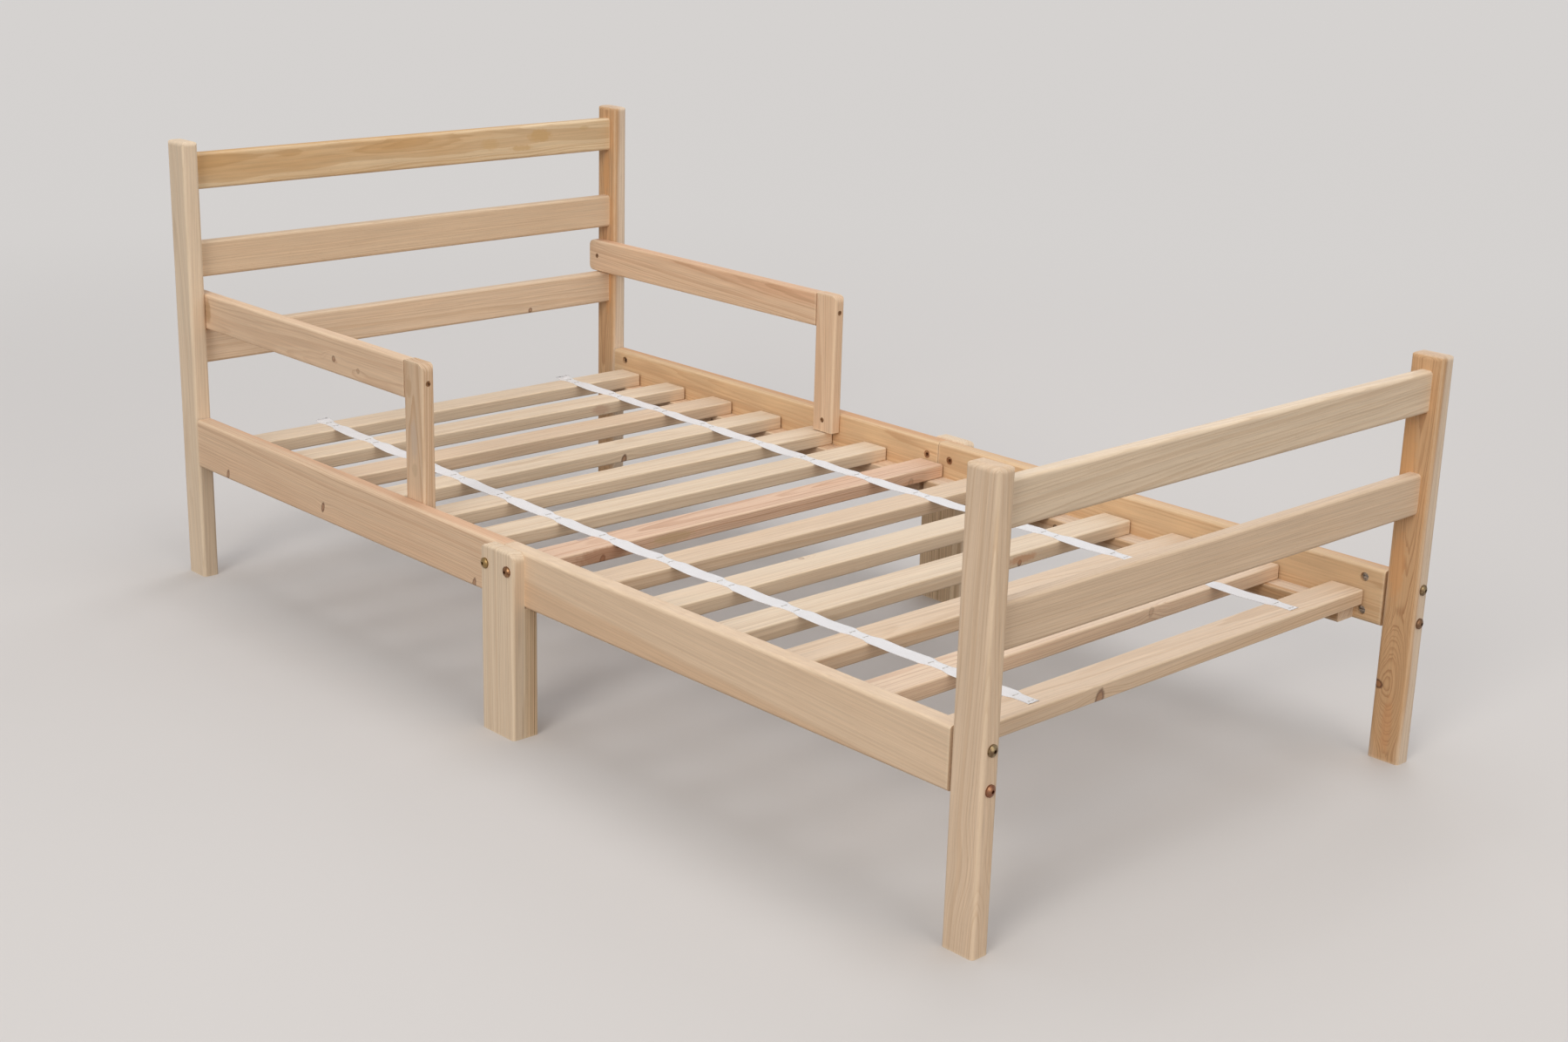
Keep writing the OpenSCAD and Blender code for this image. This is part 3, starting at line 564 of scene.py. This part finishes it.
def make_form_group():
    """Tells a board's sanded edges and its sawn ends from its faces."""
    tree, given, results = new_group(
        "board_form",
        {"Point": "Vector", "Normal": "Vector", "Middle": "Vector", "Half Size": "Vector",
         "Along": "Vector"},
        {"Edge": "Float", "End": "Float"},
    )
    offset = vector_maths(tree, "SUBTRACT", given["Point"], given["Middle"])
    offset = vector_maths(tree, "ABSOLUTE", offset)
    depth = shader_node(tree, "SeparateXYZ")
    feed(tree, depth.inputs["Vector"], vector_maths(tree, "SUBTRACT", given["Half Size"], offset))
    x, y, z = depth.outputs
    low = maths(tree, "MINIMUM", x, y)
    high = maths(tree, "MAXIMUM", x, y)
    second = maths(tree, "MAXIMUM", low, maths(tree, "MINIMUM", high, z))
    uneven = spread(tree, noise(tree, given["Point"], *EDGE_NOISE), *EDGE_UNEVEN)
    worn = maths(tree, "MULTIPLY", uneven, EDGE_WIDTH)
    feed(tree, results["Edge"], inverse(tree, rise(tree, second, 0.0, worn)))
    facing = vector_maths(tree, "DOT_PRODUCT", given["Normal"], given["Along"])
    feed(tree, results["End"], rise(tree, maths(tree, "ABSOLUTE", facing), *END_FACING))


def make_finish_group():
    """Colour, roughness and relief of raw planed pine from its masks."""
    tree, given, results = new_group(
        "pine_finish",
        {"Late": "Float", "Fibre": "Float", "Cloud": "Float", "Pore": "Float", "Heart": "Float",
         "Rim": "Float", "Edge": "Float", "End": "Float", "Pale": "Color", "Warm": "Color",
         "Line": "Color", "Radius": "Float", "Heartwood": "Float", "Contrast": "Float",
         "Flat Sawn": "Float", "Sapwood Lines": "Float"},
        {"Color": "Color", "Roughness": "Float", "Height": "Float"},
    )
    cloud = maths(tree, "SUBTRACT", given["Cloud"], NOISE_MEAN)
    reached = maths(tree, "SUBTRACT", given["Heartwood"], given["Radius"])
    reached = maths(tree, "ADD", reached, maths(tree, "MULTIPLY", cloud, HEARTWOOD_UNEVEN))
    patch = maths(tree, "MULTIPLY", rise(tree, cloud, *PATCH_RIM), PATCH_WARMTH)
    warmth = maths(tree, "MAXIMUM", rise(tree, reached, *HEARTWOOD_RIM), patch)
    shown = maths(tree, "MULTIPLY", warmth, spread(tree, given["End"], *END_WARMTH))
    wood = blend_tones(tree, shown, given["Pale"], given["Warm"])
    contrast = maths(tree, "MULTIPLY", given["Contrast"], spread(tree, given["Flat Sawn"], *SAWN_CONTRAST))
    contrast = maths(tree, "MULTIPLY", contrast, spread(tree, warmth, given["Sapwood Lines"], 1.0))
    wood = blend_tones(tree, maths(tree, "MULTIPLY", given["Late"], contrast), wood, given["Line"])
    wood = blend_tones(tree, 1.0, wood, spread(tree, given["Fibre"], *STREAKS), "MULTIPLY")
    tones = {"Edge": srgb(EDGE_TONE), "Heart": srgb(KNOT_HEART_TONE), "Rim": srgb(KNOT_RIM_TONE)}
    for mask, strength in TINTS.items():
        tint = maths(tree, "MULTIPLY", given[mask], strength)
        wood = blend_tones(tree, tint, wood, tones.get(mask, given["Line"]))
    feed(tree, results["Color"], wood)
    rough = spread(tree, given["Fibre"], *FIBRE_ROUGHNESS)
    feed(tree, results["Roughness"], add_shares(tree, rough, given, ROUGHENING))
    feed(tree, results["Height"], add_shares(tree, 0.0, given, RELIEF))


def make_metal_group():
    """Plated steel: blotches of the plating, fine turning lines and small scuffs."""
    tree, given, results = new_group(
        "plated_steel",
        {"Point": "Vector", "Bright": "Color", "Dull": "Color", "Smooth": "Float", "Rough": "Float"},
        {"Color": "Color", "Roughness": "Float", "Height": "Float"},
    )
    blotch = rise(tree, noise(tree, given["Point"], *BLOTCH_NOISE), *BLOTCH_RIM)
    scuff = noise(tree, stretched(tree, given["Point"], SCUFF_STRETCH), *SCUFF_NOISE)
    metal = blend_tones(tree, blotch, given["Bright"], given["Dull"])
    metal = blend_tones(tree, 1.0, metal, spread(tree, scuff, *SCUFF_TINT), "MULTIPLY")
    feed(tree, results["Color"], metal)
    wear = maths(tree, "ADD", maths(tree, "MULTIPLY", blotch, BLOTCH_WEAR),
                 maths(tree, "MULTIPLY", scuff, SCUFF_WEAR))
    feed(tree, results["Roughness"], spread(tree, wear, given["Smooth"], given["Rough"]))
    feed(tree, results["Height"], scuff)


def new_material(name):
    """A material with an empty tree, its Principled shader and its object coordinates."""
    material = bpy.data.materials.new(name)
    material.use_nodes = True
    tree = material.node_tree
    tree.nodes.clear()
    shader = shader_node(tree, "BsdfPrincipled")
    output = shader_node(tree, "OutputMaterial")
    tree.links.new(shader.outputs["BSDF"], output.inputs["Surface"])
    coordinates = shader_node(tree, "TexCoord")
    return material, tree, shader, coordinates.outputs


def relief(tree, shader, height, depth):
    """Feeds a height of 0 to 1, so many metres deep, to the shader's normal."""
    bump = shader_node(tree, "Bump")
    bump.inputs["Strength"].default_value = 1.0
    bump.inputs["Distance"].default_value = depth
    feed(tree, bump.inputs["Height"], height)
    feed(tree, shader.inputs["Normal"], bump.outputs["Normal"])


def log_of(name):
    """Turn and shift that take the row frame to the frame of a board's log, whose pith is the Z axis."""
    low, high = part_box(name)
    size = high - low
    long_side = max(range(3), key=lambda side: size[side])
    short_sides = [side for side in range(3) if side != long_side]
    dice = random.Random(name)
    leans = [dice.uniform(-LEAN, LEAN), dice.uniform(-LEAN, LEAN)]
    if name in GRAINS:
        leans = GRAINS[name][2]
    pith = (low + high) / 2
    grain = Vector((0.0, 0.0, 0.0))
    grain[long_side] = 1.0
    for side, offset, lean in zip(short_sides, BOARDS[name][1], leans):
        pith[side] += offset
        grain[side] = lean
    turn = grain.normalized().rotation_difference(Vector((0.0, 0.0, 1.0))).to_matrix()
    shift = Vector((0.0, 0.0, dice.uniform(*LOG_PLACES))) - turn @ pith
    ring_width = dice.uniform(*RING_WIDTHS)
    return turn, shift, long_side, ring_width


def add_stains(tree, coordinates, name, tone):
    """Lays a piece's own stains over its colour."""
    for piece, middle, reach, stain_tone, strength in STAINS:
        if piece == name:
            stain = place_group(tree, "soft_stain", {
                "Point": coordinates["Object"], "Middle": middle, "Reach": reach, "Strength": strength,
            })
            tone = blend_tones(tree, stain["Mask"], tone, srgb(stain_tone))
    return tone


def seen_from_log(tree, coordinates, turn, shift):
    """The point and the normal that are being coloured, in the frame of a board's log."""
    point = shader_node(tree, "Mapping")
    point.inputs["Rotation"].default_value = turn.to_euler()
    point.inputs["Location"].default_value = shift
    feed(tree, point.inputs["Vector"], coordinates["Object"])
    normal = shader_node(tree, "Mapping", vector_type="VECTOR")
    normal.inputs["Rotation"].default_value = turn.to_euler()
    feed(tree, normal.inputs["Vector"], coordinates["Normal"])
    return point.outputs["Vector"], normal.outputs["Vector"]


def grow_knots(tree, name, point, turn, shift):
    """How far a board's knots bend its rings, and where their hearts and rims show."""
    bend, heart, rim = 0.0, 0.0, 0.0
    for board, spot, radius, shows, pull in KNOTS:
        if board != name:
            continue
        seat = turn @ Vector(spot) + shift
        outward = Vector((seat.x, seat.y, 0.0)).normalized()
        outward.z = BRANCH_RISE
        outward.normalize()
        height = seat.z - BRANCH_RISE * math.hypot(seat.x, seat.y)
        knot = place_group(tree, "pine_knot", {
            "Point": point, "Height": height, "Outward": outward, "Radius": radius, "Shows": shows,
            "Pull": pull,
        })
        bend = maths(tree, "ADD", knot["Bend"], bend)
        heart = maths(tree, "MAXIMUM", knot["Heart"], heart)
        rim = maths(tree, "MAXIMUM", knot["Rim"], rim)
    return bend, heart, rim


def pine(name):
    """The pine of one board, with its own log, tone and knots."""
    tone, _, heartwood = BOARDS[name]
    turn, shift, long_side, usual_width = log_of(name)
    contrast, wander, _, ring_width = GRAINS.get(name, (CONTRAST, WANDER, None, usual_width))
    pale, warm, line = TONES[tone]
    material, tree, shader, coordinates = new_material("pine_" + name)
    point, normal = seen_from_log(tree, coordinates, turn, shift)
    bend, heart, rim = grow_knots(tree, name, point, turn, shift)
    grain = place_group(tree, "pine_grain", {
        "Point": point, "Normal": normal, "Bend": bend, "Ring Width": ring_width, "Wander": wander,
    })
    low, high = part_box(name)
    along = Vector((0.0, 0.0, 0.0))
    along[long_side] = 1.0
    form = place_group(tree, "board_form", {
        "Point": coordinates["Object"], "Normal": coordinates["Normal"], "Middle": (low + high) / 2,
        "Half Size": (high - low) / 2, "Along": along,
    })
    finish = place_group(tree, "pine_finish", {
        "Late": grain["Late"], "Fibre": grain["Fibre"], "Cloud": grain["Cloud"], "Pore": grain["Pore"],
        "Heart": heart, "Rim": rim, "Edge": form["Edge"], "End": form["End"],
        "Pale": srgb(pale), "Warm": srgb(warm), "Line": srgb(line),
        "Radius": grain["Radius"], "Heartwood": heartwood, "Contrast": contrast,
        "Flat Sawn": grain["Flat Sawn"], "Sapwood Lines": SAPWOOD_LINES.get(tone, 1.0),
    })
    feed(tree, shader.inputs["Base Color"], add_stains(tree, coordinates, name, finish["Color"]))
    feed(tree, shader.inputs["Roughness"], finish["Roughness"])
    shader.inputs["Specular IOR Level"].default_value = PINE_SPECULAR
    relief(tree, shader, finish["Height"], PINE_RELIEF_DEPTH)
    return material


def plated(name, bright, dull, smooth, rough, metallic):
    """The plated steel of one kind of fitting, with the tint that single ones have taken."""
    material, tree, shader, coordinates = new_material("plated_" + name)
    metal = place_group(tree, "plated_steel", {
        "Point": coordinates["Object"], "Bright": srgb(bright), "Dull": srgb(dull),
        "Smooth": smooth, "Rough": rough,
    })
    feed(tree, shader.inputs["Base Color"], add_stains(tree, coordinates, name, metal["Color"]))
    feed(tree, shader.inputs["Roughness"], metal["Roughness"])
    shader.inputs["Metallic"].default_value = metallic
    relief(tree, shader, metal["Height"], METAL_RELIEF_DEPTH)
    return material


def dowel_wood():
    """Hard dowel wood, with fibres and pores along the bed's width."""
    material, tree, shader, coordinates = new_material("dowel_wood")
    point = vector_maths(tree, "MULTIPLY", coordinates["Object"], (DOWEL_STRETCH, 1.0, 1.0))
    fibre = noise(tree, point, *DOWEL_NOISE)
    pale, dark = DOWEL_TONES
    feed(tree, shader.inputs["Base Color"], blend_tones(tree, fibre, srgb(pale), srgb(dark)))
    feed(tree, shader.inputs["Roughness"], spread(tree, fibre, *DOWEL_ROUGHNESS))
    relief(tree, shader, fibre, DOWEL_RELIEF_DEPTH)
    return material


def threads(tree, vector, direction, count, distortion):
    """Rows of threads side by side along X or Y, slightly uneven."""
    node = shader_node(tree, "TexWave", wave_type="BANDS", bands_direction=direction, wave_profile="SIN")
    feed(tree, node.inputs["Vector"], vector)
    node.inputs["Scale"].default_value = count
    node.inputs["Distortion"].default_value = distortion
    return node.outputs["Fac"]


def webbing():
    """White woven ribbon: ribs across, warp threads along and painted shade that greys the hollows."""
    material, tree, shader, coordinates = new_material("webbing")
    ribs = threads(tree, coordinates["Object"], "Y", *WEB_RIBS)
    warp = threads(tree, coordinates["Object"], "X", *WEB_WARP)
    weave = maths(tree, "MULTIPLY", ribs, warp)
    creases = noise(tree, coordinates["Object"], *CREASE_NOISE)
    # Painted shade: the hollows of the weave take a greyer tone than the threads.
    shaded_hollow, thread = WEB_HOLLOW_SHADE_AND_THREAD_TONES
    tone = blend_tones(tree, weave, srgb(shaded_hollow), srgb(thread))
    # Painted shade and light: the creases darken where they dip and lighten where they rise, as in their
    # relief.
    tone = blend_tones(tree, 1.0, tone, spread(tree, creases, *CREASE_SHADE_AND_LIGHT_TINT), "MULTIPLY")
    feed(tree, shader.inputs["Base Color"], tone)
    feed(tree, shader.inputs["Roughness"], spread(tree, weave, *WEB_ROUGHNESS))
    shader.inputs["Sheen Weight"].default_value = WEB_SHEEN
    shader.inputs["Sheen Roughness"].default_value = WEB_SHEEN_ROUGHNESS
    relief(tree, shader, maths(tree, "ADD", weave, creases), WEB_RELIEF_DEPTH)
    return material


def ribbon_stations(node):
    """Where the model's ribbon runs: place along the bed, middle, half width and underside."""
    stations = {}
    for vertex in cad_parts[node].data.vertices:
        stations.setdefault(round(vertex.co.y, 4), []).append(vertex.co)
    rows = []
    for y in sorted(stations, reverse=True):
        across = [point.x for point in stations[y]]
        under = min(point.z for point in stations[y])
        rows.append((y, (min(across) + max(across)) / 2, (max(across) - min(across)) / 2, under))
    return rows


def between(stations, y):
    """The middle, half width and underside of a ribbon at any place along the bed."""
    for before, after in zip(stations, stations[1:]):
        if y >= after[0]:
            share = (before[0] - y) / (before[0] - after[0])
            return [a + (b - a) * share for a, b in zip(before[1:], after[1:])]
    return list(stations[-1][1:])


def slat_middles():
    """Where the middles of the slats lie along the bed."""
    boxes = [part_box(name) for name in SLATS]
    return [(low.y + high.y) / 2 for low, high in boxes]


def spread_out(middles, y):
    """How far a ribbon has opened again beside its staples: 0 at a slat's middle, 1 off the slat."""
    near = min(abs(y - middle) for middle in middles)
    share = min(1.0, max(0.0, (near - STAPLED_REACH) / OPENING_REACH))
    return share * share * (3 - 2 * share)


def above_line(across, half, opened, free, twist, curl):
    """How high a point across a ribbon lies above its line, from its folds, curl and twist."""
    fold = RIBBON_FOLD * (1 - opened) * (1 + math.cos(RIBBON_FOLDS * math.pi * across)) / 2
    bow = curl * free * (across * across - RIBBON_CURL_LEVEL)
    return fold + bow + across * half * twist * free


def ribbon(node):
    """A woven ribbon that is gathered by its staples, and curls and sways between the slats."""
    stations = ribbon_stations(node)
    middles = slat_middles()
    head, _, narrow, top = stations[0]
    foot = stations[-1][0]
    wide = max(half for _, _, half, _ in stations)
    dice = random.Random(node)
    count = int((head - foot) / RIBBON_STEP)
    twist, curl, free_before = 0.0, 0.0, True
    rows = []
    for step in range(count + 1):
        y = head + (foot - head) * step / count
        middle, half, level = between(stations, y)
        free = (half - narrow) / (wide - narrow)
        opened = spread_out(middles, y)
        half = narrow + (wide - narrow) * opened
        if free < RIBBON_FREE:
            level = max(top, level)
            if free_before:
                twist = dice.uniform(-RIBBON_TWIST, RIBBON_TWIST)
                curl = dice.uniform(-RIBBON_CURL, RIBBON_CURL)
        free_before = free >= RIBBON_FREE
        frayed = max(0.0, 1 - (head - y) / FRAY_LENGTH)
        level += FRAY_LIFT * frayed * frayed
        points = []
        for column in range(RIBBON_COLUMNS):
            across = -1 + 2 * column / (RIBBON_COLUMNS - 1)
            height = level + above_line(across, half, opened, free, twist, curl)
            ragged = dice.uniform(-1, 1) * FRAY_RAGGED if step in (0, count) else 0.0
            if step == count:
                ragged *= FOOT_RAGGED
            points.append(Vector((middle + across * half, y + ragged, height)))
        rows.append(points)
    return ribbon_mesh(node.replace("ribbon", "woven_ribbon"), rows)


def ribbon_mesh(name, rows):
    """A closed band over rows of points, with thicker selvedges."""
    vertices = []
    faces = []
    last_column = RIBBON_COLUMNS - 1
    around = 2 * RIBBON_COLUMNS
    for points in rows:
        for column, point in enumerate(points):
            edge = min(column, last_column - column)
            thick = RIBBON_THICK + RIBBON_SELVEDGE * (edge < SELVEDGE_COLUMNS)
            vertices.append(point + Vector((0.0, 0.0, thick)))
        for point in reversed(points):
            vertices.append(point)
    for row in range(len(rows) - 1):
        for place in range(around):
            after = (place + 1) % around
            here = row * around
            there = here + around
            faces.append((here + place, here + after, there + after, there + place))
    faces.append(tuple(range(around))[::-1])
    last = (len(rows) - 1) * around
    faces.append(tuple(last + place for place in range(around)))
    mesh = bpy.data.meshes.new(name)
    mesh.from_pydata(vertices, [], faces)
    mesh.shade_smooth()
    band = bpy.data.objects.new(name, mesh)
    bpy.context.scene.collection.objects.link(band)
    return band


def dress_ribbons():
    """Lays the two woven ribbons in place of their plain bands."""
    white = webbing()
    for node in ("ribbon_left", "ribbon_right"):
        band = ribbon(node)
        band.data.materials.append(white)
        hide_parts(node)
        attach(band, "root")


def dress_nodes():
    """Gives every node its finish, apart from the plain ribbons, which are replaced."""
    metals = {name: plated(name, *look) for name, look in METALS.items()}
    for name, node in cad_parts.items():
        if name in BOARDS:
            finish = pine(name)
        elif name in metals:
            finish = metals[name]
        elif name == "rail_dowels":
            finish = dowel_wood()
        else:
            continue
        for place in node.material_slots:
            place.material = finish


def seen_rays(tree):
    """1 for the rays of the camera and of reflections, 0 for those that light the bed."""
    light = shader_node(tree, "LightPath")
    seen = maths(tree, "MAXIMUM", light.outputs["Is Camera Ray"], light.outputs["Is Glossy Ray"])
    return maths(tree, "MAXIMUM", seen, light.outputs["Is Transmission Ray"])


def lay_floor():
    """A plain pale floor: it holds the bed's shadow, and fades into an even backdrop far from it."""
    half = FLOOR_SIZE / 2
    mesh = bpy.data.meshes.new("floor")
    corners = [(-half, -half, 0.0), (half, -half, 0.0), (half, half, 0.0), (-half, half, 0.0)]
    mesh.from_pydata(corners, [], [(0, 1, 2, 3)])
    floor = bpy.data.objects.new("floor", mesh)
    bpy.context.scene.collection.objects.link(floor)
    material, tree, shader, coordinates = new_material("pale_floor")
    seen = seen_rays(tree)
    far = rise(tree, vector_maths(tree, "LENGTH", coordinates["Object"]), FLOOR_NEAR, FLOOR_FAR)
    lit = blend_tones(tree, seen, srgb(FLOOR_BOUNCE), srgb(FLOOR_TONE))
    feed(tree, shader.inputs["Base Color"], blend_tones(tree, far, lit, srgb(BLACK)))
    shader.inputs["Emission Color"].default_value = srgb(SKY_TONE)
    feed(tree, shader.inputs["Emission Strength"], maths(tree, "MULTIPLY", seen, far))
    shader.inputs["Roughness"].default_value = FLOOR_ROUGHNESS
    shader.inputs["Specular IOR Level"].default_value = FLOOR_SPECULAR
    mesh.materials.append(material)


def light_studio():
    """An even sky and four soft lamps."""
    world = bpy.data.worlds.new("studio")
    bpy.context.scene.world = world
    world.use_nodes = True
    tree = world.node_tree
    tree.nodes.clear()
    background = shader_node(tree, "Background")
    output = shader_node(tree, "OutputWorld")
    seen = seen_rays(tree)
    feed(tree, background.inputs["Color"], blend_tones(tree, seen, srgb(WHITE), srgb(SKY_TONE)))
    feed(tree, background.inputs["Strength"], spread(tree, seen, SKY_LIGHT, 1.0))
    tree.links.new(background.outputs["Background"], output.inputs["Surface"])
    for name, place, target, width, power, tone in LAMPS:
        lamp = bpy.data.lights.new(name, "AREA")
        lamp.shape = "DISK"
        lamp.size = width
        lamp.energy = power
        lamp.color = srgb(tone)[:3]
        holder = bpy.data.objects.new(name, lamp)
        holder.location = place
        holder.rotation_euler = (Vector(target) - Vector(place)).to_track_quat("-Z", "Y").to_euler()
        holder.visible_camera = False
        bpy.context.scene.collection.objects.link(holder)


def set_camera():
    """The camera, where the photograph was taken from."""
    yaw, pitch, roll = CAMERA_YAW, CAMERA_PITCH, CAMERA_ROLL
    forward = Vector((-math.sin(yaw) * math.cos(pitch), math.cos(yaw) * math.cos(pitch), -math.sin(pitch)))
    level = Vector((math.cos(yaw), math.sin(yaw), 0.0))
    upright = level.cross(forward)
    right = math.cos(roll) * level + math.sin(roll) * upright
    up = math.cos(roll) * upright - math.sin(roll) * level
    lens = bpy.data.cameras.new("camera")
    lens.lens = CAMERA_LENS
    lens.sensor_width = SENSOR_WIDTH
    lens.clip_start = CAMERA_NEAR
    lens.clip_end = CAMERA_FAR
    camera = bpy.data.objects.new("camera", lens)
    turn = Matrix((right, up, -forward)).transposed()
    camera.matrix_world = Matrix.Translation(CAMERA_PLACE) @ turn.to_4x4()
    bpy.context.scene.collection.objects.link(camera)
    bpy.context.scene.camera = camera
    bpy.context.scene.view_settings.view_transform = "Standard"


set_camera()
light_studio()
lay_floor()
make_knot_group()
make_stain_group()
make_grain_group()
make_form_group()
make_finish_group()
make_metal_group()
dress_nodes()
dress_ribbons()
